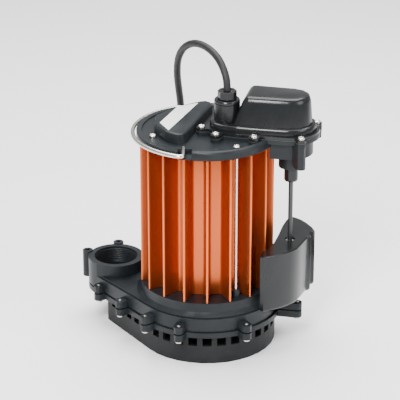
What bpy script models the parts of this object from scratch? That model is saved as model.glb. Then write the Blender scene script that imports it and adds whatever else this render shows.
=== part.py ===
"""Submersible sump pump with a finned motor housing and a vertical float switch.

Frame: metres, +Z up. The origin is where the motor's axis meets the floor. The threaded discharge
stands at -X, the float and its switch housing at +X.
"""
import math

import bmesh
import bpy
from mathutils import Vector

# ---- driving dimensions, in metres ----
GAP = 0.0003  # clearance between touching pieces
SCREEN_RADIUS = 0.075
SCREEN_TOP = 0.0303
SLOT_FLOOR = 0.0205
SLOT_WIDTH = 0.0096
SLOT_PITCH = 12.0  # degrees
FLANGE_RADIUS = 0.081
SPLIT = 0.0388  # top of the lower volute half
GASKET_THICK = 0.0010
WALL_RADIUS = 0.079
SEAT_RADIUS = 0.073
SEAT = 0.0700  # deck that the motor housing stands on
PORT = (-0.1018, 0.0527)  # axis of the vertical discharge
PORT_RADIUS = 0.031
PORT_BORE = 0.0242  # tapping bore for a 1-1/2 inch pipe thread
PORT_TOP = 0.0700
HOUSING_TOP = 0.2337
BARREL_RADIUS = 0.050
BARREL_BORE = 0.042
FIN_RADIUS = 0.0725
FIN_COUNT = 18
FIN_THICK = 0.0024
TIE_RADIUS = 0.061
TIE_ANGLES = (30.0, 130.0, 210.0, 290.0)  # from -Y towards +X
CAP_RADIUS = 0.0755
CAP_BOTTOM = 0.2340
CAP_DECK = 0.2405
CAP_RIM = 0.2445
PLATFORM = 0.2437
FLANGE_LOW = 0.2453  # underside of the switch cover
FLANGE_HIGH = 0.2480
ARM_BOTTOM = 0.2210
COVER_TOP = 0.2860
COVER_CENTRE = (0.0661, -0.0078)
COVER_TURN = -12.0  # degrees, seen from above
TOWER = (0.0210, -0.0070)
TOWER_RADIUS = 0.0138
TOWER_TOP = 0.2745
ROD = (0.0895, -0.0140)
ROD_RADIUS = 0.0025
FLOAT_BOTTOM = 0.0550
FLOAT_TOP = 0.1200
SHAFT_RADIUS = 0.0063
SHAFT_BEARING_RADIUS = 0.0075
HINGE = (-0.0250, 0.2390)  # x and z of the handle's axis
HANDLE_RADIUS = 0.0793
HANDLE_WIRE = 0.0023
CORD_RADIUS = 0.0040
COIL_CENTRE = (0.0050, 0.1820)
COIL_MEAN = 0.0480
COIL_HALF = 0.0163
COIL_HEIGHT = 0.0187  # of the bundle's middle
SCREW_RADIUS = 0.0020
HEAD_RADIUS = 0.0040


def make_material(name, colour, metallic, roughness):
    """A plain Principled material."""
    material = bpy.data.materials.new(name)
    material.use_nodes = True
    shader = material.node_tree.nodes["Principled BSDF"]
    shader.inputs["Base Color"].default_value = (*colour, 1.0)
    shader.inputs["Metallic"].default_value = metallic
    shader.inputs["Roughness"].default_value = roughness
    return material


def skin(rings):
    """Scratch object from rings of equal point counts, bottom to top, capped at both ends."""
    bm = bmesh.new()
    rows = [[bm.verts.new(point) for point in ring] for ring in rings]
    count = len(rows[0])
    for low, high in zip(rows, rows[1:]):
        for i in range(count):
            j = (i + 1) % count
            bm.faces.new((low[i], low[j], high[j], high[i]))
    bm.faces.new(rows[0][::-1])
    bm.faces.new(rows[-1])
    return scratch(bm)


def scratch(bm):
    """Turn a bmesh into a linked object with its faces outwards."""
    bmesh.ops.recalc_face_normals(bm, faces=bm.faces)
    mesh = bpy.data.meshes.new("scratch")
    bm.to_mesh(mesh)
    bm.free()
    piece = bpy.data.objects.new("scratch", mesh)
    bpy.context.collection.objects.link(piece)
    return piece


def prism(outline, low, high):
    """A plan outline raised from low to high."""
    return skin([[(x, y, z) for x, y in outline] for z in (low, high)])


def circle(centre, radius, steps=18):
    """Points round a circle, anticlockwise."""
    turns = [math.tau * i / steps for i in range(steps)]
    return [(centre[0] + radius * math.cos(t), centre[1] + radius * math.sin(t)) for t in turns]


def disc(centre, radius, low, high, steps=18):
    """An upright cylinder."""
    return prism(circle(centre, radius, steps), low, high)


def belt(discs, offset=0.0, steps=34, corner=None):
    """The outline of a belt pulled round discs (x, y, radius) that are listed anticlockwise.

    Each disc gives an arc from the tangent that arrives to the one that leaves. Its point count
    follows its sweep, or is fixed by corner where two outlines must match point for point.
    """
    tangents = []
    for here, after in zip(discs, discs[1:] + discs[:1]):
        run = Vector(after[:2]) - Vector(here[:2])
        lean = math.acos((here[2] - after[2]) / run.length)
        tangents.append(math.atan2(run.y, run.x) - lean)
    points = []
    for i, (x, y, radius) in enumerate(discs):
        start = tangents[i - 1]
        sweep = (tangents[i] - start) % math.tau
        count = corner or max(2, round(steps * sweep / math.tau))
        for k in range(count + 1):
            angle = start + sweep * k / count
            reach = radius + offset
            points.append((x + reach * math.cos(angle), y + reach * math.sin(angle)))
    return points


def turned(profile, steps=32, centre=(0.0, 0.0)):
    """A closed (radius, height) outline spun about a vertical axis."""
    bm = bmesh.new()
    verts = [bm.verts.new((r, 0.0, z)) for r, z in profile]
    edges = [bm.edges.new((a, b)) for a, b in zip(verts, verts[1:] + verts[:1])]
    bmesh.ops.spin(
        bm, geom=verts + edges, cent=(0, 0, 0), axis=(0, 0, 1), angle=math.tau, steps=steps,
        use_merge=True,
    )
    bmesh.ops.remove_doubles(bm, verts=bm.verts, dist=1e-6)
    bmesh.ops.translate(bm, verts=bm.verts, vec=(centre[0], centre[1], 0.0))
    return scratch(bm)


def tube(points, radius, resolution=2):
    """A round bar along a polyline, with filled ends."""
    curve = bpy.data.curves.new("bar", "CURVE")
    curve.dimensions = "3D"
    curve.bevel_depth = radius
    curve.bevel_resolution = resolution
    curve.use_fill_caps = True
    spline = curve.splines.new("POLY")
    spline.points.add(len(points) - 1)
    for target, point in zip(spline.points, points):
        target.co = (*point, 1.0)
    piece = bpy.data.objects.new("bar", curve)
    bpy.context.collection.objects.link(piece)
    return piece


def boolean(target, tools, operation):
    """Join tools to target, or cut them away, one after the other, and drop them."""
    for tool in tools:
        modifier = target.modifiers.new("combine", "BOOLEAN")
        modifier.operation = operation
        modifier.solver = "EXACT"
        modifier.object = tool
        graph = bpy.context.evaluated_depsgraph_get()
        mesh = bpy.data.meshes.new_from_object(target.evaluated_get(graph))
        target.modifiers.clear()
        target.data = mesh
        bpy.data.objects.remove(tool)
    return target


def join(target, *tools):
    return boolean(target, tools, "UNION")


def cut(target, *tools):
    return boolean(target, tools, "DIFFERENCE")


def finish(piece, name, material, parent=None, sharp=32.0):
    """Name a piece, give it its material, smooth its round faces and hang it on its parent."""
    piece.name = name
    piece.data.name = name
    piece.data.materials.clear()
    piece.data.materials.append(material)
    if piece.type == "MESH":
        piece.data.shade_smooth()
        piece.data.set_sharp_from_angle(angle=math.radians(sharp))
    if parent is not None:
        piece.parent = parent
        piece.matrix_parent_inverse = parent.matrix_world.inverted()
    return piece


def axis_empty(name, place):
    """An empty on a joint's axis, which the moving pieces hang on."""
    empty = bpy.data.objects.new(name, None)
    empty.location = place
    bpy.context.collection.objects.link(empty)
    bpy.context.view_layer.update()
    return empty


def around(radius, degrees):
    """The plan point at an angle from -Y towards +X."""
    angle = math.radians(degrees)
    return (radius * math.sin(angle), -radius * math.cos(angle))


def screw(centre, seat, tip, radius=SCREW_RADIUS, head=HEAD_RADIUS, head_tall=0.0026):
    """A pan-head screw: its head's underside is at seat, and its shank ends at tip."""
    up = 1.0 if seat > tip else -1.0
    top = seat + up * head_tall
    profile = [
        (0.0, tip),
        (radius, tip),
        (radius, seat),
        (head, seat),
        (head, seat + up * head_tall * 0.45),
        (head * 0.70, top),
        (0.0, top),
    ]
    return turned(profile, 8, centre)


for leftover in list(bpy.data.objects):
    bpy.data.objects.remove(leftover)

CASTING = make_material("black_casting", (0.030, 0.034, 0.037), 0.3, 0.55)
MOULDING = make_material("black_moulding", (0.020, 0.022, 0.024), 0.0, 0.38)
COPPER = make_material("copper_anodised", (0.60, 0.16, 0.045), 0.8, 0.32)
STAINLESS = make_material("stainless", (0.72, 0.71, 0.68), 1.0, 0.25)
STEEL = make_material("bright_steel", (0.55, 0.56, 0.58), 1.0, 0.35)
DARK_ROD = make_material("dark_rod", (0.035, 0.036, 0.038), 0.6, 0.4)
CORE = make_material("lamination_steel", (0.25, 0.26, 0.27), 0.9, 0.5)
WINDING = make_material("copper_winding", (0.55, 0.22, 0.07), 0.7, 0.4)
RUBBER = make_material("black_rubber", (0.015, 0.015, 0.016), 0.0, 0.7)
JACKET = make_material("cord_jacket", (0.018, 0.018, 0.020), 0.0, 0.5)
BRASS = make_material("brass", (0.78, 0.57, 0.22), 1.0, 0.3)
LABEL = make_material("label_film", (0.85, 0.85, 0.84), 0.0, 0.45)


def bar(start, end, radius, steps=12):
    """A cylinder between any two points."""
    start, end = Vector(start), Vector(end)
    aim = (end - start).to_track_quat("Z", "Y")
    rings = []
    for place in (start, end):
        rings.append([place + aim @ Vector((x, y, 0.0)) for x, y in circle((0.0, 0.0), radius, steps)])
    return skin(rings)


def block(centre, length, width, degrees, low, high):
    """An upright box whose length points at an angle from +X."""
    along = Vector((math.cos(math.radians(degrees)), math.sin(math.radians(degrees))))
    across = Vector((-along.y, along.x))
    corners = ((-0.5, -0.5), (0.5, -0.5), (0.5, 0.5), (-0.5, 0.5))
    plan = [Vector(centre) + along * a * length + across * b * width for a, b in corners]
    return prism([tuple(p) for p in plan], low, high)


# ---- wet end ----
SCREEN_DISCS = [(0.0, 0.0, SCREEN_RADIUS), (-0.103, 0.078, 0.008), (-0.103, 0.035, 0.008)]
SCREEN_WALL = 0.005
SCREEN_FLOOR = 0.004
SCREEN_SCREWS = [(-0.092, 0.058), (0.056, 0.0)]
EARS = [
    (-0.120, 0.020),
    (-0.095, -0.018),
    (-0.0666, -0.057),
    (-0.0303, -0.0815),
    (0.0420, -0.0768),
    (0.0983, -0.0220),
    (0.0420, 0.0768),
    (-0.0480, 0.0892),
]
EAR_RADIUS = 0.0055
EAR_HIGH = 0.0480
PORT_LUGS = (159.0, 87.5)  # degrees from +X, seen from the port's axis


def slot_places():
    """Centre and outward angle (from +X) of each inlet slot round the screen's wall."""
    places = []
    middle = SCREEN_RADIUS - SCREEN_WALL / 2
    for step in range(-4, 15):
        phi = step * SLOT_PITCH
        places.append((around(middle, phi), phi - 90.0))
    pitch = SCREEN_RADIUS * math.radians(SLOT_PITCH)
    for corner, side in ((SCREEN_DISCS[2], 1), (SCREEN_DISCS[1], -1)):
        reach = math.hypot(corner[0], corner[1])
        lean = math.degrees(math.acos((SCREEN_RADIUS - corner[2]) / reach))
        facing = math.degrees(math.atan2(corner[1], corner[0])) + side * lean
        normal = Vector((math.cos(math.radians(facing)), math.sin(math.radians(facing))))
        start = normal * middle
        end = Vector(corner[:2]) + normal * (corner[2] - SCREEN_WALL / 2)
        run = end - start
        for i in range(int(run.length / pitch)):
            place = start + run.normalized() * pitch * (i + 0.7)
            places.append((tuple(place), facing))
    return places


def make_intake_screen():
    """Slotted tray that the pump stands on and draws water through."""
    tray = prism(belt(SCREEN_DISCS), 0.0, SCREEN_TOP)
    cut(tray, prism(belt(SCREEN_DISCS, -SCREEN_WALL), SCREEN_FLOOR, SCREEN_TOP + 0.01))
    for centre, facing in slot_places():
        cut(tray, block(centre, SCREEN_WALL * 2.2, SLOT_WIDTH, facing, SLOT_FLOOR, SCREEN_TOP + 0.01))
    for centre in SCREEN_SCREWS:
        join(tray, disc(centre, 0.0055, 0.002, SCREEN_TOP, 10))
        cut(tray, disc(centre, SCREW_RADIUS + GAP, -0.01, SCREEN_TOP + 0.01, 10))
        cut(tray, disc(centre, HEAD_RADIUS + GAP, -0.01, 0.0038, 12))
    return finish(tray, "intake_screen", CASTING)


def ear_arm(centre, radius, low, high):
    """A screw ear with a web that runs back to the wall behind it."""
    root = Vector(centre).normalized() * (WALL_RADIUS - 0.003)
    if centre[0] < -0.08:
        root = Vector(centre) + Vector((0.0112, 0.0084))
    return prism(belt([(*centre, radius), (root.x, root.y, radius)], 0.0, 10), low, high)


def make_volute_base():
    """Lower half of the pump chamber, with the inlet eye."""
    port = (*PORT, PORT_RADIUS)
    base = prism(belt([(0.0, 0.0, FLANGE_RADIUS), port]), 0.0330, SPLIT)
    join(base, prism(belt([(0.0, 0.0, 0.0765), (*PORT, 0.0280)]), SCREEN_TOP + GAP, 0.0345))
    for centre in EARS:
        join(base, ear_arm(centre, EAR_RADIUS, 0.0312, SPLIT))
    cut(base, disc((0.0, 0.0), 0.0220, 0.02, 0.05, 32))
    for centre in EARS:
        cut(base, disc(centre, SCREW_RADIUS + GAP, 0.02, 0.05, 10))
    for centre in SCREEN_SCREWS:
        cut(base, disc(centre, SCREW_RADIUS + GAP, 0.02, 0.0370, 10))
    return finish(base, "volute_base", CASTING)


CHAMBER_RADIUS = 0.0640
CHAMBER_TOP = 0.0520
CHANNEL = [(-0.030, 0.0420, 0.0200), (*PORT, 0.0215)]
CASING_LOW = SPLIT + 2 * GAP + GASKET_THICK


def make_volute_gasket():
    """Flat gasket between the two halves of the chamber."""
    low = SPLIT + GAP
    high = low + GASKET_THICK
    ring = prism(belt([(0.0, 0.0, WALL_RADIUS - 0.001), (*PORT, 0.0290)]), low, high)
    cut(ring, disc((0.0, 0.0), CHAMBER_RADIUS + 0.001, low - 0.01, high + 0.01, 36))
    cut(ring, prism(belt(CHANNEL, 0.001), low - 0.01, high + 0.01))
    return finish(ring, "volute_gasket", RUBBER)


def make_volute_casing():
    """Upper half of the pump chamber, with the motor seat and the threaded discharge."""
    port = (*PORT, PORT_RADIUS - 0.0005)
    casing = prism(belt([(0.0, 0.0, WALL_RADIUS), port]), CASING_LOW, 0.0545)
    seat = [(0.0, 0.0560), (0.0775, 0.0560), (SEAT_RADIUS, 0.0600), (SEAT_RADIUS, SEAT), (0.0, SEAT)]
    join(
        casing,
        prism(belt([(0.0, 0.0, WALL_RADIUS - 0.002), (*PORT, 0.0285)]), 0.0540, 0.0565),
        turned(seat, 36),
        disc(PORT, PORT_RADIUS, CASING_LOW, PORT_TOP, 30),
    )
    for angle in PORT_LUGS:
        offset = Vector((math.cos(math.radians(angle)), math.sin(math.radians(angle)))) * 0.0345
        place = (PORT[0] + offset.x, PORT[1] + offset.y)
        join(casing, disc(place, 0.0058, CASING_LOW, PORT_TOP + 0.0012, 12))
        cut(casing, disc(place, 0.0024, PORT_TOP - 0.014, PORT_TOP + 0.01, 8))
    for centre in EARS:
        join(casing, ear_arm(centre, EAR_RADIUS, CASING_LOW, EAR_HIGH))
        cut(casing, disc(centre, SCREW_RADIUS + GAP, 0.03, 0.06, 10))
    for angle in TIE_ANGLES:
        join(casing, disc(around(TIE_RADIUS, angle), 0.0046, SEAT - 0.002, SEAT + 0.008, 10))
        cut(casing, disc(around(TIE_RADIUS, angle), 0.0021, SEAT + 0.001, SEAT + 0.02, 8))
    cut(
        casing,
        disc((0.0, 0.0), CHAMBER_RADIUS, 0.03, CHAMBER_TOP, 36),
        prism(belt(CHANNEL), 0.03, CHAMBER_TOP),
        disc(PORT, PORT_BORE, 0.0445, PORT_TOP + 0.01, 30),
        disc((0.0, 0.0), 0.0135, 0.05, SEAT + 0.01, 24),
        disc((0.0, 0.0), 0.0178, 0.0600, SEAT + 0.01, 24),
        disc((0.0, 0.0), 0.0400, 0.0660, SEAT + 0.01, 32),
        turned([(0.0440, 0.0680), (0.0470, 0.0680), (0.0470, 0.0800), (0.0440, 0.0800)], 36),
    )
    return finish(casing, "volute_casing", CASTING)


def make_impeller(rotor_axis):
    """Semi-open impeller: a disc and hub with six swept vanes on its underside."""
    section = [
        (0.0066, 0.0430), (0.0105, 0.0430), (0.0105, 0.0476),
        (0.0550, 0.0476), (0.0550, 0.0505), (0.0066, 0.0505),
    ]
    wheel = turned(section, 30)
    for vane in range(6):
        inner, outer = [], []
        for step in range(5):
            radius = 0.0095 + 0.0445 * step / 4
            angle = math.radians(vane * 60.0 - 55.0 * step / 4)
            half = 0.0012 / radius
            inner.append((radius * math.cos(angle - half), radius * math.sin(angle - half)))
            outer.append((radius * math.cos(angle + half), radius * math.sin(angle + half)))
        join(wheel, prism(inner + outer[::-1], 0.0415, 0.0480))
    return finish(wheel, "impeller", MOULDING, rotor_axis)


make_intake_screen()
make_volute_base()
make_volute_gasket()
make_volute_casing()
for number, spot in enumerate(EARS, 1):
    finish(screw(spot, 0.0309, 0.0492), f"volute_screw_{number}", STAINLESS)
for number, spot in enumerate(SCREEN_SCREWS, 1):
    finish(screw(spot, 0.0035, 0.0360), f"screen_screw_{number}", STAINLESS)

# ---- motor ----
rotor_axis = axis_empty("rotor_axis", (0.0, 0.0, SEAT))
make_impeller(rotor_axis)


def make_shaft_parts():
    """Shaft, rotor, stator, windings, seal and the two ball bearings, all round the motor's axis."""
    thin, thick = SHAFT_RADIUS, SHAFT_BEARING_RADIUS
    shaft = [
        (0.0, 0.0402), (thin, 0.0402), (thin, 0.0600), (thick, 0.0600), (thick, 0.0735),
        (0.0090, 0.0735), (0.0090, 0.2030), (thick, 0.2030), (thick, 0.2165), (0.0, 0.2165),
    ]
    finish(turned(shaft, 16), "motor_shaft", STEEL, rotor_axis)
    rotor = [(0.0093, 0.1000), (0.0260, 0.1000), (0.0260, 0.1800), (0.0093, 0.1800)]
    finish(turned(rotor, 24), "rotor", CORE, rotor_axis)
    stator = [(0.0267, 0.1000), (0.0417, 0.1000), (0.0417, 0.1800), (0.0267, 0.1800)]
    finish(turned(stator, 28), "stator_core", CORE)
    for name, low, high in (("winding_lower", 0.0800, 0.0997), ("winding_upper", 0.1803, 0.2000)):
        ring = [
            (0.0300, low), (0.0370, low), (0.0400, low + 0.003),
            (0.0400, high - 0.003), (0.0370, high), (0.0300, high),
        ]
        finish(turned(ring, 24), name, WINDING)
    seal = [(0.0068, 0.0528), (0.0132, 0.0528), (0.0132, 0.0597), (0.0068, 0.0597)]
    finish(turned(seal, 20), "shaft_seal", RUBBER)
    for name, low in (("lower_bearing", 0.0603), ("upper_bearing", 0.2045)):
        ring = [(0.0078, low), (0.0175, low), (0.0175, low + 0.0110), (0.0078, low + 0.0110)]
        finish(turned(ring, 24), name, STEEL)


def make_motor_housing():
    """Extruded barrel with a ring of tapered cooling fins."""
    outline = []
    pitch = math.tau / FIN_COUNT
    for fin in range(FIN_COUNT):
        middle = fin * pitch - math.pi / 2
        foot = FIN_THICK * 0.75 / BARREL_RADIUS
        tip = FIN_THICK * 0.5 / FIN_RADIUS
        outline.append((BARREL_RADIUS, middle - foot))
        outline.append((FIN_RADIUS, middle - tip))
        outline.append((FIN_RADIUS, middle + tip))
        outline.append((BARREL_RADIUS, middle + foot))
        for step in (1, 2):
            outline.append((BARREL_RADIUS, middle + foot + (pitch - 2 * foot) * step / 3))
    plan = [(r * math.cos(t), r * math.sin(t)) for r, t in outline]
    housing = prism(plan, SEAT + GAP, HOUSING_TOP)
    cut(housing, disc((0.0, 0.0), BARREL_BORE, 0.0, 0.3, 40))
    return finish(housing, "motor_housing", COPPER)


def make_oring(name, low):
    """O-ring squeezed in its groove under or over the barrel's end."""
    section = [
        (0.0455 + 0.0010 * math.cos(math.tau * i / 6), low + 0.0008 * (1 + math.sin(math.tau * i / 6)))
        for i in range(6)
    ]
    return finish(turned(section, 28), name, RUBBER)


make_shaft_parts()
make_motor_housing()
make_oring("oring_lower", 0.0682)
make_oring("oring_upper", 0.2340)
for number, angle in enumerate(TIE_ANGLES, 1):
    bolt = screw(around(TIE_RADIUS, angle), CAP_DECK + GAP, SEAT + 0.0025, 0.0018, 0.0042, 0.0030)
    finish(bolt, f"tie_bolt_{number}", STAINLESS)

# ---- top cap and handle ----
PAD_DISCS = [
    (-0.0030, 0.0535, 0.0085),
    (-0.0270, 0.0375, 0.0090),
    (-0.0455, 0.0140, 0.0100),
    (-0.0455, -0.0080, 0.0100),
    (-0.0370, -0.0270, 0.0090),
    (-0.0300, -0.0340, 0.0085),
]
PAD_TOP = 0.2515
LABEL_PLAN = [(-0.0500, -0.0090), (-0.0405, -0.0310), (-0.0095, 0.0515), (-0.0320, 0.0400)]
NOTCH = (-0.0235, 0.0150, 0.0560)  # middle x, width and inner y of the handle's notches


def cover_point(along, across):
    """A plan point from the switch cover's own long and cross axes."""
    turn_by = math.radians(COVER_TURN)
    x = COVER_CENTRE[0] + along * math.cos(turn_by) - across * math.sin(turn_by)
    y = COVER_CENTRE[1] + along * math.sin(turn_by) + across * math.cos(turn_by)
    return (x, y)


BOX_FOOT = [
    (*cover_point(0.0220, -0.0005), 0.0240),
    (*cover_point(-0.0290, 0.0175), 0.0075),
    (*cover_point(-0.0290, -0.0175), 0.0075),
]
BOX_CROWN = [
    (*cover_point(0.0225, -0.0005), 0.0212),
    (*cover_point(-0.0180, 0.0160), 0.0060),
    (*cover_point(-0.0180, -0.0160), 0.0060),
]
BEAD_DISCS = [
    (*cover_point(0.0220, -0.0005), 0.0284),
    (*cover_point(-0.0300, 0.0195), 0.0100),
    (*TOWER, 0.0185),
    (*cover_point(-0.0300, -0.0195), 0.0100),
]
COVER_SCREWS = [
    (-0.0060, -0.0120),
    (0.0089, -0.0340),
    (0.0487, -0.0420),
    (0.0977, -0.0480),
    (0.1168, 0.0020),
    (0.0640, 0.0285),
    (0.0120, 0.0205),
]
LUG_RADIUS = 0.0056


def flange_plan(low, high):
    """Solid of the switch cover's flange outline with its screw lugs, from low to high."""
    plate = prism(belt(BEAD_DISCS, 0.0035), low, high)
    for place in COVER_SCREWS:
        root = Vector(place).lerp(Vector(nearest_on_bead(place)), 0.75)
        lug = [(*place, LUG_RADIUS), (root.x, root.y, LUG_RADIUS)]
        join(plate, prism(belt(lug, 0.0, 10), low, high))
    return plate


def nearest_on_bead(place):
    """The centre of the cover's middle line closest to a screw, for the root of its lug."""
    left, right = Vector(TOWER), Vector(cover_point(0.0220, -0.0005))
    run = right - left
    share = min(1.0, max(0.0, (Vector(place) - left).dot(run) / run.length_squared))
    return tuple(left + run * share)


def make_top_cap():
    """Cast cap over the motor, with the arm that carries the switch."""
    rim = [
        (0.0, CAP_BOTTOM), (CAP_RADIUS - 0.0012, CAP_BOTTOM), (CAP_RADIUS, CAP_BOTTOM + 0.0012),
        (CAP_RADIUS, CAP_RIM - 0.0030), (CAP_RADIUS - 0.0010, CAP_RIM - 0.0010),
        (CAP_RADIUS - 0.0030, CAP_RIM),
        (CAP_RADIUS - 0.0045, CAP_RIM), (CAP_RADIUS - 0.0060, CAP_DECK), (0.0, CAP_DECK),
    ]
    cap = turned(rim, 42)
    ledge = [(0.0690 * math.cos(t), 0.0690 * math.sin(t)) for t in ledge_angles()]
    ledge += [(0.0820 * math.cos(t), 0.0820 * math.sin(t)) for t in ledge_angles()[::-1]]
    cut(cap, prism(ledge, 0.2420, 0.2600), prism(belt(BEAD_DISCS, 0.0047), 0.2421, 0.2600))
    for place in (COVER_SCREWS[2], COVER_SCREWS[5]):
        cut(cap, disc(place, LUG_RADIUS + 0.0011, 0.2419, 0.2600, 20))
    pad = [(0.2395, 0.0008), (0.2485, 0.0), (0.2506, -0.0008), (PAD_TOP, -0.0024)]
    join(cap, skin([[(x, y, z) for x, y in belt(PAD_DISCS, o, corner=3)] for z, o in pad]))
    arm = prism(belt(BOX_FOOT, 0.0010), ARM_BOTTOM, PLATFORM - 0.0012)
    join(arm, disc(ROD, 0.0135, 0.2050, ARM_BOTTOM + 0.001, 20))
    columns = (
        (COVER_SCREWS[2], CAP_BOTTOM + 0.0004), (COVER_SCREWS[3], 0.2150), (COVER_SCREWS[4], 0.2320),
    )
    for place, low in columns:
        root = Vector(place).lerp(Vector(nearest_on_bead(place)), 0.35)
        column = [(*place, LUG_RADIUS), (root.x, root.y, LUG_RADIUS)]
        join(arm, prism(belt(column, -0.0004, 10), low, PLATFORM - 0.0018))
    cut(arm, disc((0.0, 0.0), 0.0740, 0.19, CAP_BOTTOM + 0.0005, 42))
    join(arm, flange_plan(CAP_DECK - 0.0008, PLATFORM))
    join(cap, arm, disc((0.0, 0.0), 0.0235, 0.2050, CAP_BOTTOM + 0.002, 24))
    cut(
        cap,
        disc((0.0, 0.0), 0.0178, 0.20, 0.2160, 24),
        disc((0.0, 0.0), 0.0100, 0.21, 0.2230, 12),
        turned([(0.0440, 0.2300), (0.0470, 0.2300), (0.0470, 0.2359), (0.0440, 0.2359)], 36),
        prism(belt(BOX_FOOT, -0.0040), 0.2383, 0.26),
        cut(prism(belt(BOX_FOOT, -0.0047), 0.2245, 0.2400), disc((0.0, 0.0), 0.0767, 0.2, 0.3, 42)),
        disc(ROD, 0.0058, 0.20, 0.2166, 16),
        disc(ROD, 0.0036, 0.20, 0.23, 12),
        disc((0.0300, -0.0060), 0.0050, 0.22, 0.26, 10),
    )
    for angle in TIE_ANGLES:
        cut(cap, disc(around(TIE_RADIUS, angle), 0.0022, 0.22, 0.26, 8))
    for place in COVER_SCREWS:
        cut(cap, disc(place, 0.0018, 0.2365, 0.26, 8))
    for side in (-1, 1):
        middle = (NOTCH[0], side * (NOTCH[2] + 0.015))
        cut(cap, block(middle, NOTCH[1], 0.030, 0.0, 0.2356, 0.26))
        hinge_ends = [(HINGE[0], side * y, HINGE[1]) for y in (0.0470, 0.0700)]
        cut(cap, bar(*hinge_ends, HANDLE_WIRE + GAP))
    return finish(cap, "top_cap", CASTING)


def ledge_angles():
    """Angles of the lowered ledge that the folded handle lies beside."""
    first, last = math.radians(114.0), math.radians(246.0)
    return [first + (last - first) * i / 12 for i in range(13)]


def make_handle():
    """Wire bail folded down round the cap's rim, with its ends turned in to the hinge."""
    hinge_x, height = HINGE
    handle_axis = axis_empty("handle_axis", (hinge_x, 0.0, height))
    meet_x = -0.0350
    meet_y = -math.sqrt(HANDLE_RADIUS**2 - meet_x**2)
    corner_y = meet_y + (hinge_x - meet_x) * meet_x / -meet_y
    half = [(hinge_x, -0.0490, height), (hinge_x, -0.0650, height)]
    start, middle = Vector((hinge_x, -0.0690)), Vector((hinge_x, corner_y))
    end = Vector((meet_x, meet_y))
    for i in range(6):
        t = i / 6
        point = start * (1 - t) ** 2 + middle * 2 * t * (1 - t) + end * t * t
        half.append((point.x, point.y, height))
    first = math.atan2(-meet_y, -meet_x)
    for i in range(12):
        angle = first * (1 - i / 12)
        half.append((-HANDLE_RADIUS * math.cos(angle), -HANDLE_RADIUS * math.sin(angle), height))
    path = half + [(-HANDLE_RADIUS, 0.0, height)] + [(x, -y, z) for x, y, z in half[::-1]]
    return finish(tube(path, HANDLE_WIRE), "carry_handle", STAINLESS, handle_axis)


make_top_cap()
make_handle()
finish(prism(LABEL_PLAN, PAD_TOP + GAP, PAD_TOP + GAP + 0.0004), "rating_label", LABEL)

# ---- switch housing, guide, rod and float ----
FLOAT_PLAN = [
    (0.0600, -0.0625), (0.0666, -0.0600), (0.0774, -0.0547), (0.0883, -0.0470), (0.0960, -0.0393),
    (0.1020, -0.0263), (0.1085, -0.0100), (0.1128, -0.0075), (0.1115, 0.0060), (0.1179, 0.0082),
    (0.1157, 0.0179), (0.1097, 0.0307), (0.1035, 0.0398), (0.0990, 0.0440), (0.0944, 0.0470),
    (0.0900, 0.0430), (0.0868, 0.0360), (0.0820, 0.0200), (0.0790, 0.0060), (0.0755, -0.0090),
    (0.0720, -0.0230), (0.0665, -0.0355), (0.0590, -0.0470), (0.0560, -0.0600),
]


def inset(outline, amount):
    """Move each corner of an anticlockwise outline inwards along its own bisector."""
    moved = []
    for i, here in enumerate(outline):
        before, after = Vector(outline[i - 1]), Vector(outline[(i + 1) % len(outline)])
        run = (after - before).normalized()
        moved.append((here[0] - run.y * amount, here[1] + run.x * amount))
    return moved


def make_switch_gasket():
    """Flat gasket under the switch cover."""
    low, high = PLATFORM + GAP, PLATFORM + GAP + 0.0010
    sheet = flange_plan(low, high)
    cut(sheet, prism(belt(BOX_FOOT, -0.0035), 0.2, 0.3), disc(TOWER, 0.0100, 0.2, 0.3))
    for place in COVER_SCREWS:
        cut(sheet, disc(place, 0.0023, 0.2, 0.3, 8))
    return finish(sheet, "switch_gasket", RUBBER)


def make_switch_cover():
    """Moulded cover: flange, rounded bead, drafted box and the tower for the cord gland."""
    cover = flange_plan(FLANGE_LOW, FLANGE_HIGH)
    bead = [(0.2475, 0.0), (0.2520, 0.0), (0.2543, -0.0010), (0.2552, -0.0030)]
    join(cover, skin([[(x, y, z) for x, y in belt(BEAD_DISCS, o, corner=6)] for z, o in bead]))
    foot, crown = (belt(discs, 0.0, corner=6) for discs in (BOX_FOOT, BOX_CROWN))
    box = [[(x, y, 0.2540) for x, y in foot]]
    crowning = (
        (0.2800, 0.84, 0.0), (0.2835, 0.95, 0.0008), (0.2852, 1.0, 0.0022), (COVER_TOP, 1.0, 0.0048),
    )
    for z, share, shrink in crowning:
        blend = [tuple(Vector(a).lerp(Vector(b), share)) for a, b in zip(foot, crown)]
        box.append([(x, y, z) for x, y in inset(blend, shrink)])
    join(cover, skin(box), disc(TOWER, TOWER_RADIUS, 0.2475, TOWER_TOP, 20))
    hollow = [[(x, y, 0.24) for x, y in inset(foot, 0.0035)]]
    hollow.append([(x, y, 0.2832) for x, y in inset(crown, 0.0035)])
    cut(cover, skin(hollow), disc(TOWER, 0.0095, 0.24, 0.2690, 16), disc(TOWER, 0.0060, 0.24, 0.29, 14))
    for place in COVER_SCREWS:
        cut(cover, disc(place, 0.0023, 0.24, 0.2495, 8))
    return finish(cover, "switch_cover", MOULDING)


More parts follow.
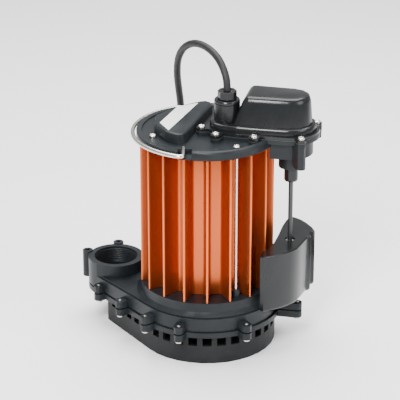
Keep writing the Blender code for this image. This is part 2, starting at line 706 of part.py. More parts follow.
def make_float_parts():
    """Float, its rod, the clip under it and the magnet carrier on top, which slide as one."""
    float_axis = axis_empty("float_axis", (*ROD, FLOAT_TOP))
    levels = [
        (FLOAT_BOTTOM, 0.0020), (FLOAT_BOTTOM + 0.0015, 0.0006), (FLOAT_BOTTOM + 0.0040, 0.0),
        (FLOAT_TOP - 0.0012, 0.0), (FLOAT_TOP, 0.0010),
    ]
    body = skin([[(x, y, z) for x, y in inset(FLOAT_PLAN, o)] for z, o in levels])
    shoulder = [
        (0.0, 0.0), (0.0808, 0.0), (0.0808, 0.0575),
        (0.0752, 0.0640), (0.0747, 0.0740), (0.0, 0.0740),
    ]
    cut(body, turned(shoulder, 42), disc(ROD, ROD_RADIUS + GAP, 0.0, 0.2, 12))
    cut(body, disc(ROD, 0.0056, FLOAT_TOP - 0.0040, 0.2, 14))
    cut(body, disc(ROD, 0.0056, 0.0, FLOAT_BOTTOM + 0.0036, 14))
    finish(body, "float", MOULDING, float_axis)
    finish(disc(ROD, ROD_RADIUS, FLOAT_BOTTOM + 0.0004, 0.2310, 16), "float_rod", DARK_ROD, float_axis)
    clips = (("float_clip_lower", FLOAT_BOTTOM + 0.0012), ("float_clip_upper", FLOAT_TOP - 0.0037))
    for name, low in clips:
        high = low + 0.0020
        clip = [(ROD_RADIUS + GAP, low), (0.0050, low), (0.0050, high), (ROD_RADIUS + GAP, high)]
        finish(turned(clip, 12, ROD), name, STAINLESS, float_axis)
    carrier = [
        (ROD_RADIUS + GAP, 0.2250), (0.0080, 0.2250), (0.0080, 0.2310), (ROD_RADIUS + GAP, 0.2310),
    ]
    finish(turned(carrier, 14, ROD), "magnet_carrier", MOULDING, float_axis)


def make_rod_guide():
    """Guide bush screwed into the boss under the switch housing."""
    guide = [
        (0.0030, 0.1900), (0.0050, 0.1885), (0.0068, 0.1885), (0.0075, 0.1900), (0.0075, 0.2046),
        (0.0055, 0.2046), (0.0055, 0.2160), (0.0030, 0.2160),
    ]
    return finish(turned(guide, 14, ROD), "rod_guide", MOULDING)


make_switch_gasket()
make_switch_cover()
make_rod_guide()
make_float_parts()
for number, spot in enumerate(COVER_SCREWS, 1):
    cover_screw = screw(spot, FLANGE_HIGH + GAP, 0.2385, 0.0016, 0.0040, 0.0026)
    finish(cover_screw, f"cover_screw_{number}", STAINLESS)
module = block(cover_point(-0.0080, 0.0), 0.0280, 0.0200, COVER_TURN, 0.2386, 0.2640)
finish(module, "switch_module", MOULDING)

# ---- gland, cord and plug ----
GLAND_LOW = TOWER_TOP + GAP
NUT_LOW = 0.2790
NUT_TOP = 0.2878
PLUG = (0.0120, 0.2705)  # where the cord meets the plug's strain relief
PLUG_TURN = 180.0  # degrees from +X that the plug points along
PLUG_HEIGHT = 0.0150


def make_gland():
    """Gland body, compression nut with grip flats, and the rubber grommet the cord leaves by."""
    section = [
        (0.0050, GLAND_LOW), (TOWER_RADIUS, GLAND_LOW), (TOWER_RADIUS, GLAND_LOW + 0.0026),
        (0.0130, 0.2787), (0.0050, 0.2787),
    ]
    body = turned(section, 20, TOWER)
    finish(body, "gland_body", MOULDING)
    nut = prism(circle(TOWER, 0.0103, 8), NUT_LOW, NUT_TOP)
    cut(nut, disc(TOWER, 0.0058, 0.27, 0.30, 16))
    finish(nut, "gland_nut", MOULDING)
    ring = [(0.0043, NUT_LOW), (0.0055, NUT_LOW), (0.0055, NUT_TOP - 0.0006), (0.0043, NUT_TOP - 0.0006)]
    finish(turned(ring, 14, TOWER), "gland_grommet", RUBBER)


def smooth_route(knots, spacing):
    """Points about one spacing apart on a smooth curve through the knots."""
    knots = [Vector(k) for k in knots]
    ends = [knots[0] * 2 - knots[1]] + knots + [knots[-1] * 2 - knots[-2]]
    points = []
    for a, b, c, d in zip(ends, ends[1:], ends[2:], ends[3:]):
        count = max(1, round((c - b).length / spacing))
        for i in range(count):
            t = i / count
            bend = (2 * a - 5 * b + 4 * c - d) * t**2 + (3 * b - a - 3 * c + d) * t**3
            points.append(0.5 * (2 * b + (c - a) * t + bend))
    return [tuple(p) for p in points] + [tuple(knots[-1])]


CORD_ROUTE = [
    (0.0210, -0.0070, 0.2875), (0.0212, -0.0062, 0.2985), (0.0178, 0.0010, 0.3070),
    (0.0120, 0.0110, 0.3160), (0.0040, 0.0230, 0.3215), (-0.0050, 0.0350, 0.3235),
    (-0.0145, 0.0470, 0.3215), (-0.0232, 0.0590, 0.3140), (-0.0290, 0.0700, 0.3025),
    (-0.0320, 0.0800, 0.2885), (-0.0325, 0.0890, 0.2705), (-0.0310, 0.0960, 0.2520),
    (-0.0290, 0.1010, 0.2300), (-0.0290, 0.1060, 0.2000), (-0.0310, 0.1100, 0.1600),
    (-0.0335, 0.1140, 0.1200), (-0.0310, 0.1190, 0.0850), (-0.0230, 0.1260, 0.0590),
    (-0.0090, 0.1320, 0.0440), (0.0060, 0.1340, 0.0393),
]
TAIL_ROUTE = [
    (0.0738, 0.1890, 0.0120), (0.0736, 0.2080, 0.0070), (0.0690, 0.2300, 0.0047),
    (0.0560, 0.2510, 0.0060), (0.0390, 0.2640, 0.0110), (0.0240, 0.2695, 0.0147),
    (0.0125, 0.2705, 0.0150),
]


make_gland()


def make_cord():
    """Free cord from the gland to the floor, the coil it lies in, its tie and the plug."""
    lead = tube(smooth_route(CORD_ROUTE, 0.018), CORD_RADIUS)
    finish(lead, "cord_lead", JACKET)
    tail = tube(smooth_route(TAIL_ROUTE, 0.018), CORD_RADIUS)
    finish(tail, "cord_tail", JACKET)
    coil = []
    for i in range(10):
        angle = math.tau * i / 10
        coil.append((COIL_MEAN + COIL_HALF * math.cos(angle), COIL_HEIGHT + COIL_HALF * math.sin(angle)))
    finish(turned(coil, 24, COIL_CENTRE), "cord_coil", JACKET)
    make_tie()


def make_tie():
    """Rubber strap round the coil's bundle of turns, on the side away from the pump."""
    centre = (COIL_CENTRE[0], COIL_CENTRE[1] + COIL_MEAN, COIL_HEIGHT)
    outer, inner = COIL_HALF + 0.0020, COIL_HALF + 0.0009
    strap = []
    for radius, half in ((outer, 0.0045), (inner, 0.0065)):
        ends = []
        for side in (-1, 1):
            ring = circle((0.0, 0.0), radius, 16)
            ends.append([(centre[0] + side * half, centre[1] + y, centre[2] + z) for y, z in ring])
        strap.append(skin(ends))
    finish(cut(strap[0], strap[1]), "coil_tie", RUBBER)


def make_plug():
    """Moulded three-pin plug with its tapered strain relief, lying on the floor behind the coil."""
    aim = Vector((math.cos(math.radians(PLUG_TURN)), math.sin(math.radians(PLUG_TURN)), 0.0))
    side = Vector((-aim.y, aim.x, 0.0))
    origin = Vector((*PLUG, PLUG_HEIGHT))

    def at(along, across, up):
        return tuple(origin + aim * along + side * across + Vector((0.0, 0.0, up)))

    rings = []
    for along, half_wide, half_tall in (
        (0.0, 0.0050, 0.0050), (0.0240, 0.0070, 0.0070), (0.0300, 0.0120, 0.0110),
        (0.0360, 0.0150, 0.0130),
        (0.0500, 0.0155, 0.0135), (0.0540, 0.0170, 0.0140), (0.0580, 0.0170, 0.0140),
    ):
        ring = [at(along, half_wide * x, half_tall * z) for x, z in circle((0.0, 0.0), 1.0, 12)]
        rings.append(ring)
    finish(skin(rings), "plug_body", JACKET)
    face = 0.0580 + GAP
    for name, across in (("plug_blade_left", 0.0064), ("plug_blade_right", -0.0064)):
        blade = []
        for along, half_tall in ((face, 0.0032), (face + 0.0145, 0.0032), (face + 0.0165, 0.0020)):
            low, high = -half_tall, half_tall
            corners = ((-0.0008, low), (0.0008, low), (0.0008, high), (-0.0008, high))
            blade.append([at(along, across + x, z + 0.0020) for x, z in corners])
        finish(skin(blade), name, BRASS)
    pin = bar(at(face, 0.0, -0.0075), at(face + 0.0185, 0.0, -0.0075), 0.0024, 14)
    finish(pin, "plug_ground_pin", BRASS)


make_cord()
make_plug()
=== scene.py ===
"""Submersible sump pump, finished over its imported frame: surfaces, materials, cord and light.

Metres, +Z up. The motor's axis stands at the origin, the discharge at -X and the float at +X.
"""

import math

import bmesh
import bpy
import numpy as np
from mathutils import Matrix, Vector


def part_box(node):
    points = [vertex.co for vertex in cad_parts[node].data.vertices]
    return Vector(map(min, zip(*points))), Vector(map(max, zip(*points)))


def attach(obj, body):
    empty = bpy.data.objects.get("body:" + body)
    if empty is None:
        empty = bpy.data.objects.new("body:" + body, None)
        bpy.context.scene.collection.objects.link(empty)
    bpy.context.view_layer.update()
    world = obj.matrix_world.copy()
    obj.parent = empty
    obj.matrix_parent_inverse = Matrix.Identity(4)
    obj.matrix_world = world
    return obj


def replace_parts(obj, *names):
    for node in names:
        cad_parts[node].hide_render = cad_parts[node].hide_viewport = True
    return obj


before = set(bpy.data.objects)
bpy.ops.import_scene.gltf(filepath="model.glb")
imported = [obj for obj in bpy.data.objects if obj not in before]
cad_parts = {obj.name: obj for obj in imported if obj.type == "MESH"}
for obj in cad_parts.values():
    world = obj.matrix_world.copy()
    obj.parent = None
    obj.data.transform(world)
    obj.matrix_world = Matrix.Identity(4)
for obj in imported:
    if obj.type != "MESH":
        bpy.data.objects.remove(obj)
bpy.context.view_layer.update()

# ---- camera ----
# A long lens a little over two metres away, square to the pump's front and looking 23 degrees down.
LOOK_DOWN = math.radians(23.0)
LOOK_AT = Vector((-0.0076, 0.0, 0.1594))
LOOK_FROM = 2.159
camera_lens = bpy.data.cameras.new("camera")
camera_lens.lens = 180.0
camera_lens.sensor_width = 36.0
camera = bpy.data.objects.new("camera", camera_lens)
camera.location = LOOK_AT + LOOK_FROM * Vector((0.0, -math.cos(LOOK_DOWN), math.sin(LOOK_DOWN)))
camera.rotation_euler = (math.pi / 2 - LOOK_DOWN, 0.0, 0.0)
bpy.context.collection.objects.link(camera)
bpy.context.scene.camera = camera


# ---- power cord ----
# A round three-core rubber lead, 8 mm thick: the usual ten feet, less what is inside the gland. It
# falls behind the pump and is wound into a coil of eight and a quarter turns on the floor.
CORD_THICK = 0.0080
LEAD_KNOTS = [
    (0.0210, -0.0070, 0.2875), (0.0203, -0.0054, 0.2983), (0.0174, 0.0002, 0.3078),
    (0.0120, 0.0110, 0.3160), (0.0040, 0.0230, 0.3215), (-0.0050, 0.0350, 0.3235),
    (-0.0145, 0.0470, 0.3215), (-0.0232, 0.0590, 0.3140), (-0.0290, 0.0700, 0.3025),
    (-0.0320, 0.0800, 0.2885), (-0.0325, 0.0890, 0.2705), (-0.0310, 0.0960, 0.2520),
    (-0.0290, 0.1010, 0.2300), (-0.0290, 0.1060, 0.2000), (-0.0310, 0.1100, 0.1600),
    (-0.0335, 0.1140, 0.1200), (-0.0310, 0.1190, 0.0850), (-0.0236, 0.1254, 0.0594),
    (-0.0094, 0.1314, 0.0452), (0.0060, 0.1340, 0.0393),
]
TAIL_KNOTS = [
    (0.0738, 0.1890, 0.0120), (0.0736, 0.2080, 0.0070), (0.0690, 0.2300, 0.0047),
    (0.0560, 0.2510, 0.0060), (0.0390, 0.2640, 0.0110), (0.0240, 0.2695, 0.0147),
    (0.0125, 0.2705, 0.0150),
]
COIL_CENTRE = (0.0050, 0.1820, 0.0187)
COIL_MEAN = 0.0480
COIL_TURNS = 8.25
BUNDLE_RADIUS = 0.0123  # from the middle of the bundle to the middle of each turn
DROP_IN_LIFT = 0.0083  # how far above its place the first turn arrives
LEAVING_LIFT = 0.0095  # how far off the bundle the last turn rises


def smooth_line(knots, spacing):
    """Points on a Catmull-Rom curve: each span is the cubic through its two knots whose slope at
    a knot is half the step from the knot before to the knot after."""
    knots = np.array(knots)
    ends = np.vstack([2 * knots[0] - knots[1], knots, 2 * knots[-1] - knots[-2]])
    spans = []
    for a, b, c, d in zip(ends, ends[1:], ends[2:], ends[3:]):
        count = max(2, round(float(np.linalg.norm(c - b)) / spacing))
        t = np.linspace(0.0, 1.0, count, endpoint=False)[:, None]
        bend = (2 * a - 5 * b + 4 * c - d) * t**2 + (3 * b - a - 3 * c + d) * t**3
        spans.append(0.5 * (2 * b + (c - a) * t + bend))
    return np.vstack(spans + [knots[-1:]])


def coil_line(turns, per_turn=40):
    """Points of a helix wound round a ring: the angle round the ring grows evenly, and the place
    in the bundle's section turns from its top inwards, under and out to its outer side. The bundle
    opens at its start, where the cord drops in. At its end the last turn first rises off the
    bundle, and then slides down its outer side to leave along the floor."""
    share = np.linspace(0.0, 1.0, int(turns * per_turn) + 1)
    round_ring = -math.pi / 2 + math.tau * turns * share
    section = math.radians(90.0) + math.radians(325.0) * share
    arriving = np.clip(1.0 - share * turns / 0.14, 0.0, 1.0)
    leaving = np.clip(1.0 - (1.0 - share) * turns / 0.36, 0.0, 1.0)
    rising = np.clip(leaving / 0.55, 0.0, 1.0)
    sliding = np.clip((leaving - 0.30) / 0.70, 0.0, 1.0)
    ease_in = arriving**2 * (3 - 2 * arriving)
    ease_out = rising**2 * (3 - 2 * rising)
    section = section - math.radians(74.0) * sliding**2 * (3 - 2 * sliding)
    reach = BUNDLE_RADIUS + DROP_IN_LIFT * ease_in + LEAVING_LIFT * ease_out
    across = COIL_MEAN + reach * np.cos(section)
    return np.stack(
        [
            COIL_CENTRE[0] + across * np.cos(round_ring),
            COIL_CENTRE[1] + across * np.sin(round_ring),
            COIL_CENTRE[2] + reach * np.sin(section),
        ],
        axis=1,
    )


cord_line = np.vstack(
    [
        smooth_line(LEAD_KNOTS, 0.006)[:-1],
        coil_line(COIL_TURNS)[1:-1],
        smooth_line(TAIL_KNOTS, 0.006),
    ]
)
cord_curve = bpy.data.curves.new("power_cord", "CURVE")
cord_curve.dimensions = "3D"
cord_curve.bevel_depth = CORD_THICK / 2
cord_curve.bevel_resolution = 4
cord_curve.use_fill_caps = True
cord_spline = cord_curve.splines.new("POLY")
cord_spline.points.add(len(cord_line) - 1)
cord_spline.points.foreach_set("co", np.c_[cord_line, np.ones(len(cord_line))].ravel())
cord_spline.use_smooth = True
power_cord = bpy.data.objects.new("power_cord", cord_curve)
bpy.context.collection.objects.link(power_cord)


def surface(name, colour, deep, metal, rough, rough_spread, patch, grain, relief, stretch=(1, 1, 1)):
    """A material whose colour drifts between two shades over patches, whose roughness drifts with
    them, and whose surface is raised and sunk by a finer grain. Patch and grain are in metres."""
    material = bpy.data.materials.new(name)
    material.use_nodes = True
    tree = material.node_tree
    shader = tree.nodes["Principled BSDF"]
    shader.inputs["Metallic"].default_value = metal
    place = tree.nodes.new("ShaderNodeTexCoord")
    fit = tree.nodes.new("ShaderNodeMapping")
    fit.inputs["Scale"].default_value = stretch
    tree.links.new(place.outputs["Object"], fit.inputs["Vector"])
    drift = tree.nodes.new("ShaderNodeTexNoise")
    drift.inputs["Scale"].default_value = 1.0 / patch
    drift.inputs["Detail"].default_value = 5.0
    tree.links.new(fit.outputs["Vector"], drift.inputs["Vector"])
    shades = tree.nodes.new("ShaderNodeValToRGB")
    shades.color_ramp.elements[0].position = 0.32
    shades.color_ramp.elements[1].position = 0.68
    shades.color_ramp.elements[0].color = (*deep, 1.0)
    shades.color_ramp.elements[1].color = (*colour, 1.0)
    tree.links.new(drift.outputs["Fac"], shades.inputs["Fac"])
    tree.links.new(shades.outputs["Color"], shader.inputs["Base Color"])
    spread = tree.nodes.new("ShaderNodeMapRange")
    spread.inputs["To Min"].default_value = rough - rough_spread
    spread.inputs["To Max"].default_value = rough + rough_spread
    tree.links.new(drift.outputs["Fac"], spread.inputs["Value"])
    tree.links.new(spread.outputs["Result"], shader.inputs["Roughness"])
    fine = tree.nodes.new("ShaderNodeTexNoise")
    fine.inputs["Scale"].default_value = 1.0 / grain
    fine.inputs["Detail"].default_value = 3.0
    tree.links.new(fit.outputs["Vector"], fine.inputs["Vector"])
    raised = tree.nodes.new("ShaderNodeBump")
    raised.inputs["Strength"].default_value = 1.0
    raised.inputs["Distance"].default_value = relief
    tree.links.new(fine.outputs["Fac"], raised.inputs["Height"])
    tree.links.new(raised.outputs["Normal"], shader.inputs["Normal"])
    return material


def set_shine(material, level):
    """Set how strongly a finish mirrors its surroundings, from 0 to 1, on its own socket."""
    material.node_tree.nodes["Principled BSDF"].inputs["Specular IOR Level"].default_value = level


jacket = surface(
    "rubber_jacket", (0.021, 0.021, 0.023), (0.013, 0.013, 0.014),
    0.0, 0.50, 0.06, 0.02, 0.0007, 0.00008,
)
set_shine(jacket, 0.25)
cord_curve.materials.append(jacket)
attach(power_cord, "pump")
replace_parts(power_cord, "cord_lead", "cord_coil", "cord_tail")


# ---- plug and tie ----
# A moulded three-pin plug with brass blades and a ribbed, tapered strain relief. A rubber strap
# holds the coil together on the side away from the pump.
def place_mesh(name, points, faces, material, body, smooth=40.0):
    """Make an object from arrays of points and faces, turn its faces outwards and let it ride."""
    mesh = bpy.data.meshes.new(name)
    mesh.from_pydata([tuple(p) for p in points], [], [tuple(int(i) for i in f) for f in faces])
    bm = bmesh.new()
    bm.from_mesh(mesh)
    bmesh.ops.remove_doubles(bm, verts=bm.verts, dist=1e-6)
    bmesh.ops.recalc_face_normals(bm, faces=bm.faces)
    bm.to_mesh(mesh)
    bm.free()
    mesh.shade_smooth()
    mesh.set_sharp_from_angle(angle=math.radians(smooth))
    mesh.materials.append(material)
    piece = bpy.data.objects.new(name, mesh)
    bpy.context.collection.objects.link(piece)
    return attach(piece, body)


def grid_faces(rows, columns):
    """Quads of a grid that closes on itself along its columns."""
    row, column = np.meshgrid(np.arange(rows - 1), np.arange(columns), indexing="ij")
    after = (column + 1) % columns
    quads = [row * columns + column, row * columns + after]
    quads += [(row + 1) * columns + after, (row + 1) * columns + column]
    return np.stack(quads, axis=-1).reshape(-1, 4)


PLUG_START = (0.0120, 0.2705, 0.0150)
PLUG_SIDES = 48
along = [0, 0, 3, 5, 6, 8, 9, 11, 12, 14, 15, 17, 18, 20, 24, 30, 36, 50, 54, 57, 58, 58]
along = np.array(along) / 1000
relief = [0, 5, 5, 5.2, 4.6, 4.6, 5.6, 5.6, 5, 5, 6.1, 6.1, 5.4, 6.6, 7]
grip = [11.8, 14.8, 15.3, 16.8, 16.8, 16, 0]
half_wide = np.array(relief + grip) / 1000
half_tall = np.minimum(half_wide, 0.0070 + np.clip(half_wide - 0.0070, 0.0, None) * 0.70)
turn = np.linspace(0.0, math.tau, PLUG_SIDES, endpoint=False)
squared = 2.6  # power of the superellipse section: 2 is round, more is squarer
wave = np.abs(np.cos(turn)) ** (2 / squared) * np.sign(np.cos(turn))
lift = np.abs(np.sin(turn)) ** (2 / squared) * np.sign(np.sin(turn))
plug_points = np.stack(
    [
        PLUG_START[0] - np.repeat(along, PLUG_SIDES),
        PLUG_START[1] - np.outer(half_wide, wave).ravel(),
        PLUG_START[2] + np.outer(half_tall, lift).ravel(),
    ],
    axis=1,
)
plug_faces = grid_faces(len(along), PLUG_SIDES)
plug_skin = place_mesh("moulded_plug", plug_points, plug_faces, jacket, "pump")
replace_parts(plug_skin, "plug_body")
brass = surface(
    "brass_blade", (0.76, 0.55, 0.22), (0.62, 0.42, 0.15),
    1.0, 0.30, 0.08, 0.004, 0.0003, 0.00002, (1, 1, 4),
)
strap_rubber = surface(
    "strap_rubber", (0.028, 0.028, 0.028), (0.017, 0.017, 0.017),
    0.0, 0.68, 0.06, 0.01, 0.0006, 0.00010,
)


def dress(material, *nodes):
    """Give CAD pieces whose shape is kept the material of the real finish."""
    for node in nodes:
        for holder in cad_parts[node].material_slots:
            holder.material = material


dress(brass, "plug_blade_left", "plug_blade_right", "plug_ground_pin")
dress(strap_rubber, "coil_tie", "volute_gasket", "switch_gasket", "oring_lower", "oring_upper")
dress(strap_rubber, "gland_grommet", "shaft_seal")


# ---- castings ----
# Sand-cast iron under dark epoxy paint: the strainer, both halves of the pump chamber and the cap.
# Their edges are rounded as a mould leaves them, and the paint keeps a fine orange-peel grain.
def soften(node, new_name, material, body, edge, sharp=32.0):
    """A merged copy of a CAD piece with its flat faces joined and its edges rolled by a bevel."""
    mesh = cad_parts[node].data.copy()
    bm = bmesh.new()
    bm.from_mesh(mesh)
    bmesh.ops.remove_doubles(bm, verts=bm.verts, dist=1e-6)
    bmesh.ops.dissolve_limit(bm, angle_limit=math.radians(0.6), verts=bm.verts, edges=bm.edges)
    bmesh.ops.recalc_face_normals(bm, faces=bm.faces)
    bm.to_mesh(mesh)
    bm.free()
    mesh.name = new_name
    mesh.shade_smooth()
    mesh.set_sharp_from_angle(angle=math.radians(sharp))
    mesh.materials.clear()
    mesh.materials.append(material)
    piece = bpy.data.objects.new(new_name, mesh)
    bpy.context.collection.objects.link(piece)
    roll = piece.modifiers.new("rolled_edges", "BEVEL")
    roll.width = edge
    roll.segments = 2
    roll.limit_method = "ANGLE"
    roll.angle_limit = math.radians(sharp)
    roll.harden_normals = True
    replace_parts(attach(piece, body), node)
    return piece


casting = surface(
    "painted_casting", (0.014, 0.017, 0.019), (0.008, 0.010, 0.012),
    0.0, 0.38, 0.07, 0.03, 0.0011, 0.00010,
)
set_shine(casting, 0.18)
strainer_black = surface(
    "strainer_black", (0.012, 0.013, 0.014), (0.007, 0.008, 0.009),
    0.0, 0.50, 0.06, 0.02, 0.0010, 0.00008,
)
set_shine(strainer_black, 0.18)
soften("intake_screen", "strainer", strainer_black, "pump", 0.0005)
soften("volute_base", "chamber_lower_half", casting, "pump", 0.0005)
soften("volute_casing", "chamber_upper_half", casting, "pump", 0.0008)
soften("top_cap", "motor_cap", casting, "pump", 0.0006)


# ---- discharge thread ----
# Tapping inside the vertical port for a pipe, eleven and a half threads to the inch.
THREAD_PITCH = 0.002209
PORT_AXIS = (-0.1018, 0.0527)
BORE = 0.0242
THREAD_LOW, THREAD_HIGH = 0.0490, 0.0688
THREAD_SIDES = 96
heights = np.linspace(THREAD_LOW, THREAD_HIGH, 73)
turn = np.linspace(0.0, math.tau, THREAD_SIDES, endpoint=False)
phase = math.tau * heights[:, None] / THREAD_PITCH - turn[None, :]
run_in = np.clip((heights - THREAD_LOW) / 0.003, 0.0, 1.0)
run_out = np.clip((THREAD_HIGH - heights) / 0.002, 0.0, 1.0)
fade = run_in * run_out
crest = BORE - 0.00005 - 0.0010 * fade[:, None] * (0.5 + 0.5 * np.cos(phase))
backing = np.full((1, THREAD_SIDES), BORE + 0.0002)
radii = np.vstack([backing, crest, backing, backing])
levels = np.concatenate([heights[:1], heights, heights[-1:], heights[:1]])
thread_points = np.stack(
    [
        PORT_AXIS[0] + (radii * np.cos(turn)).ravel(),
        PORT_AXIS[1] + (radii * np.sin(turn)).ravel(),
        np.repeat(levels, THREAD_SIDES),
    ],
    axis=1,
)
thread_faces = grid_faces(len(levels), THREAD_SIDES)
place_mesh("discharge_thread", thread_points, thread_faces, casting, "pump", 60.0)


# ---- motor housing ----
# One length of aluminium extrusion, anodised copper: a barrel with eighteen tapered fins whose
# roots run into the barrel by a small radius.
housing_low, housing_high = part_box("motor_housing")
FIN_REACH = 0.0725
BARREL = 0.0500
BARREL_BORE = 0.0420
FIN_HALF = 0.0012
EDGE = 0.0003  # broken edge at the barrel's ends
FIN_COUNT = 18
ROOT_ROUND = 0.0030
fin_profile = np.array(
    [
        (BARREL, FIN_HALF + ROOT_ROUND + 0.0008),
        (BARREL + 0.0003, FIN_HALF + ROOT_ROUND * 0.55 + 0.0006),
        (BARREL + 0.0012, FIN_HALF + ROOT_ROUND * 0.20 + 0.0006),
        (BARREL + 0.0030, FIN_HALF + 0.0006),
        (FIN_REACH - 0.0007, FIN_HALF),
        (FIN_REACH - 0.0002, FIN_HALF - 0.0004),
        (FIN_REACH, FIN_HALF - 0.0009),
    ]
)
side = np.vstack([fin_profile, fin_profile[::-1] * (1, -1)])[::-1]
fin_angle = math.tau * np.arange(FIN_COUNT) / FIN_COUNT - math.pi / 2
lean = side[:, 1] / side[:, 0]
outline_angle = (fin_angle[:, None] + lean[None, :]).ravel()
outline_reach = np.tile(side[:, 0], FIN_COUNT)
outer = np.stack([outline_reach * np.cos(outline_angle), outline_reach * np.sin(outline_angle)], 1)
inner = BARREL_BORE * np.stack([np.cos(outline_angle), np.sin(outline_angle)], 1)
bottom, top = housing_low.z, housing_high.z
drawn_in = outer * 0.9985
rings = [(drawn_in, bottom), (outer, bottom + EDGE), (outer, top - EDGE), (drawn_in, top)]
rings += [(inner, top), (inner, bottom), (drawn_in, bottom)]
housing_points = np.vstack([np.c_[plan, np.full(len(plan), z)] for plan, z in rings])
copper = surface(
    "copper_anodising", (0.67, 0.150, 0.038), (0.62, 0.134, 0.032),
    0.80, 0.28, 0.02, 0.012, 0.0009, 0.000006, (1, 1, 0.04),
)
# Painted shade and painted highlight: the colour is darkest on the fins' flanks, as painted shade
# between the fins, and turns paler along their edges as a painted highlight. The painting follows
# the distance from the motor's axis.
tree = copper.node_tree
here = tree.nodes.new("ShaderNodeTexCoord")
flat = tree.nodes.new("ShaderNodeVectorMath")
flat.operation = "MULTIPLY"
flat.inputs[1].default_value = (1.0, 1.0, 0.0)
away = tree.nodes.new("ShaderNodeVectorMath")
away.operation = "LENGTH"
reach = tree.nodes.new("ShaderNodeMapRange")
reach.inputs["From Min"].default_value = BARREL
reach.inputs["From Max"].default_value = FIN_REACH
# Ramp of painted light: dimmer on the flanks for the painted shade, white at the fin edges for the
# painted highlight.
fin_shade_and_highlight = tree.nodes.new("ShaderNodeValToRGB")
fin_shade_and_highlight.color_ramp.elements[0].color = (0.78, 0.72, 0.70, 1.0)
fin_shade_and_highlight.color_ramp.elements[1].color = (1.0, 1.0, 1.0, 1.0)
fin_shade_and_highlight.color_ramp.elements.new(0.88).color = (0.46, 0.38, 0.36, 1.0)
shaded = tree.nodes.new("ShaderNodeMix")
shaded.data_type = "RGBA"
shaded.blend_type = "MULTIPLY"
shaded.inputs["Factor"].default_value = 1.0
tree.links.new(here.outputs["Object"], flat.inputs[0])
tree.links.new(flat.outputs["Vector"], away.inputs[0])
tree.links.new(away.outputs["Value"], reach.inputs["Value"])
tree.links.new(reach.outputs["Result"], fin_shade_and_highlight.inputs["Fac"])
COLOUR_A, COLOUR_B, COLOUR_OUT = 6, 7, 2  # the mix node's colour sockets
base_colour = tree.nodes["Principled BSDF"].inputs["Base Color"]
tree.links.new(base_colour.links[0].from_socket, shaded.inputs[COLOUR_A])
tree.links.new(fin_shade_and_highlight.outputs["Color"], shaded.inputs[COLOUR_B])
tree.links.new(shaded.outputs[COLOUR_OUT], base_colour)
barrel = place_mesh(
    "finned_barrel", housing_points, grid_faces(7, len(outer)), copper, "pump", 30.0
)
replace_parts(barrel, "motor_housing")


# ---- screws and tie bolts ----
# Stainless pan heads with a cross recess. The volute's go in from below, and their tips stand
# proud of the ears.
stainless = surface(
    "stainless_steel", (0.66, 0.64, 0.60), (0.58, 0.56, 0.52),
    1.0, 0.27, 0.05, 0.008, 0.0012, 0.000004,
)

SCREW_SIDES = 40


def pan_head(node, shank, head, tall):
    """A turned screw: radius against height, spun, with a cross pressed into the crown whose depth
    is greatest on the axis and fades to nothing at its arms' ends."""
    low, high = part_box(node)
    x, y = (low.x + high.x) / 2, (low.y + high.y) / 2
    wide = head * 0.98
    points = np.array([v.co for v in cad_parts[node].data.vertices])
    from_axis = np.hypot(points[:, 0] - x, points[:, 1] - y)
    head_up = points[from_axis > (shank + head) / 2, 2].mean() > (low.z + high.z) / 2
    crown = np.linspace(0.0, 1.0, 12)
    dome = tall * (0.45 + 0.55 * np.sqrt(np.clip(1 - (1 - crown) ** 2.4, 0, 1)))
    profile_r = np.concatenate([[0.0, shank * 0.7, shank, shank, wide], wide * (1 - crown)])
    whole = high.z - low.z
    profile_z = np.concatenate([[whole, whole, whole - 0.0006, tall, tall], tall - dome])
    turn = np.linspace(0.0, math.tau, SCREW_SIDES, endpoint=False)
    reach = np.repeat(profile_r, SCREW_SIDES).reshape(-1, SCREW_SIDES)
    height = np.repeat(profile_z, SCREW_SIDES).reshape(-1, SCREW_SIDES)
    px, py = reach * np.cos(turn), reach * np.sin(turn)
    arm = np.minimum(np.abs(px), np.abs(py)) < head * 0.15
    depth = np.clip(1 - np.hypot(px, py) / (head * 0.62), 0, 1) ** 0.6 * tall * 0.45
    height = height + np.where(arm, depth, 0.0) * (np.arange(len(profile_r)) > 4)[:, None]
    z = high.z - height if head_up else low.z + height
    spun = np.stack([(x + px).ravel(), (y + py).ravel(), z.ravel()], axis=1)
    faces = grid_faces(len(profile_r), SCREW_SIDES)
    piece = place_mesh(node + "_turned", spun, faces, stainless, "pump", 35.0)
    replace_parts(piece, node)


for node in sorted(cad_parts):
    if node.startswith(("volute_screw", "screen_screw")):
        pan_head(node, 0.0020, 0.0040, 0.0026)
    elif node.startswith("cover_screw"):
        pan_head(node, 0.0016, 0.0040, 0.0026)
    elif node.startswith("tie_bolt"):
        pan_head(node, 0.0018, 0.0040, 0.0030)


# ---- carrying handle ----
# Stainless wire bent to a bail and folded down beside the cap's rim, with its ends turned in to
# the hinge.
HINGE_X, HINGE_Z = -0.0250, 0.2390
BAIL_REACH = 0.0793
WIRE = 0.0023
meet = np.array([-0.0350, -math.sqrt(BAIL_REACH**2 - 0.0350**2)])
corner = np.array([HINGE_X, meet[1] - (HINGE_X - meet[0]) * meet[0] / meet[1]])
turned_in = np.array([[HINGE_X, -0.0490], [HINGE_X, -0.0620]])
t = np.linspace(0.0, 1.0, 16, endpoint=False)[:, None]
elbow = np.array([HINGE_X, -0.0690]) * (1 - t) ** 2 + corner * 2 * t * (1 - t) + meet * t**2
first = math.atan2(-meet[1], -meet[0])
sweep = np.linspace(first, -first, 81)
rim = -BAIL_REACH * np.stack([np.cos(sweep), np.sin(sweep)], axis=1)
half = np.vstack([turned_in, elbow])
bail = np.vstack([half, rim, half[::-1] * (1, -1)])


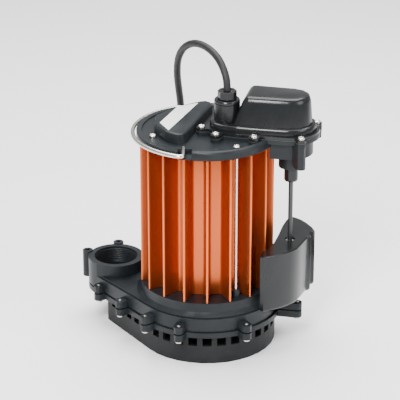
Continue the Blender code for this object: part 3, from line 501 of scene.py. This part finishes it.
def swept_wire(plan, height, radius, name):
    """A round section carried along a level line: each ring is the line's point plus the radius
    times the cosine of the section angle across the line and its sine straight up. The first and
    last rings shrink to the line, which closes the ends."""
    ahead = np.gradient(plan, axis=0)
    ahead /= np.linalg.norm(ahead, axis=1)[:, None]
    across = np.stack([-ahead[:, 1], ahead[:, 0]], axis=1)
    section = np.linspace(0.0, math.tau, 20, endpoint=False)
    reach = np.full(len(plan), radius)
    plan = np.vstack([plan[:1], plan, plan[-1:]])
    across = np.vstack([across[:1], across, across[-1:]])
    reach = np.concatenate([[0.0], reach, [0.0]])[:, None]
    flat = plan[:, None, :] + (reach * np.cos(section))[..., None] * across[:, None, :]
    high = height + reach * np.sin(section)
    points = np.concatenate([flat, high[..., None]], axis=2).reshape(-1, 3)
    return place_mesh(name, points, grid_faces(len(plan), 20), stainless, "handle")


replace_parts(swept_wire(bail, HINGE_Z, WIRE, "wire_bail"), "carry_handle")

# ---- rating label ----
# A blank self-adhesive film label on the cap's raised pad.
label_film = surface(
    "label_film", (0.80, 0.80, 0.78), (0.74, 0.74, 0.72), 0.0, 0.42, 0.05, 0.01, 0.0008, 0.00002
)
dress(label_film, "rating_label")

# ---- switch cover, gland, guide and float ----
# Glass-filled moulding with a satin skin. The cover's flange, bead and box are one piece.
moulding = surface(
    "satin_moulding", (0.009, 0.010, 0.011), (0.006, 0.007, 0.008),
    0.0, 0.22, 0.05, 0.02, 0.0008, 0.00003,
)
set_shine(moulding, 0.30)
soften("switch_cover", "switch_hood", moulding, "pump", 0.0008)
soften("gland_body", "gland_base", moulding, "pump", 0.0004)
soften("gland_nut", "compression_nut", moulding, "pump", 0.0005)
soften("rod_guide", "guide_stem", moulding, "pump", 0.0004)
soften("float", "float_shell", moulding, "float_group", 0.0011)
dark_rod = surface(
    "dark_rod", (0.050, 0.051, 0.054), (0.032, 0.033, 0.035),
    0.6, 0.36, 0.05, 0.004, 0.0004, 0.00002, (1, 1, 0.1),
)
dress(dark_rod, "float_rod")
dress(moulding, "magnet_carrier", "switch_module", "impeller")
dress(stainless, "float_clip_lower", "float_clip_upper")

# ---- motor's inside ----
# Ground shaft and bearings, varnished laminations and enamelled copper end turns.
ground_steel = surface(
    "ground_steel", (0.56, 0.57, 0.59), (0.46, 0.47, 0.49),
    1.0, 0.30, 0.06, 0.004, 0.0004, 0.00001, (1, 1, 6),
)
laminations = surface(
    "stacked_laminations", (0.27, 0.28, 0.29), (0.17, 0.18, 0.19),
    0.9, 0.48, 0.06, 0.01, 0.0005, 0.00006, (0.05, 0.05, 1),
)
end_turns = surface(
    "enamelled_copper", (0.56, 0.22, 0.08), (0.36, 0.12, 0.04),
    0.7, 0.38, 0.08, 0.003, 0.0009, 0.00020,
)
dress(ground_steel, "motor_shaft", "lower_bearing", "upper_bearing")
dress(laminations, "stator_core", "rotor")
dress(end_turns, "winding_lower", "winding_upper")

# ---- studio ----
# A pale floor, one broad soft light above and two at the sides.
floor_mesh = bpy.data.meshes.new("floor")
floor_mesh.from_pydata([(-6, -6, 0), (6, -6, 0), (6, 6, 0), (-6, 6, 0)], [], [(0, 1, 2, 3)])
floor = bpy.data.objects.new("floor", floor_mesh)
floor_paper = bpy.data.materials.new("floor_paper")
floor_paper.use_nodes = True
paper = floor_paper.node_tree.nodes["Principled BSDF"]
paper.inputs["Base Color"].default_value = (0.97, 0.97, 0.97, 1.0)
paper.inputs["Roughness"].default_value = 0.9
floor_mesh.materials.append(floor_paper)
bpy.context.collection.objects.link(floor)
world = bpy.data.worlds.new("studio")
world.use_nodes = True
world.node_tree.nodes["Background"].inputs["Color"].default_value = (1.0, 1.0, 1.0, 1.0)
world.node_tree.nodes["Background"].inputs["Strength"].default_value = 0.62
bpy.context.scene.world = world
for name, place, size, power in (
    ("key_light", (-0.35, -1.10, 1.10), 0.5, 34.0),
    ("fill_light", (1.05, -0.70, 0.80), 0.7, 10.0),
    ("top_light", (0.0, 0.45, 1.60), 1.4, 60.0),
):
    lamp = bpy.data.lights.new(name, "AREA")
    lamp.size = size
    lamp.energy = power
    holder = bpy.data.objects.new(name, lamp)
    holder.location = place
    holder.rotation_euler = (LOOK_AT - Vector(place)).to_track_quat("-Z", "Y").to_euler()
    bpy.context.collection.objects.link(holder)
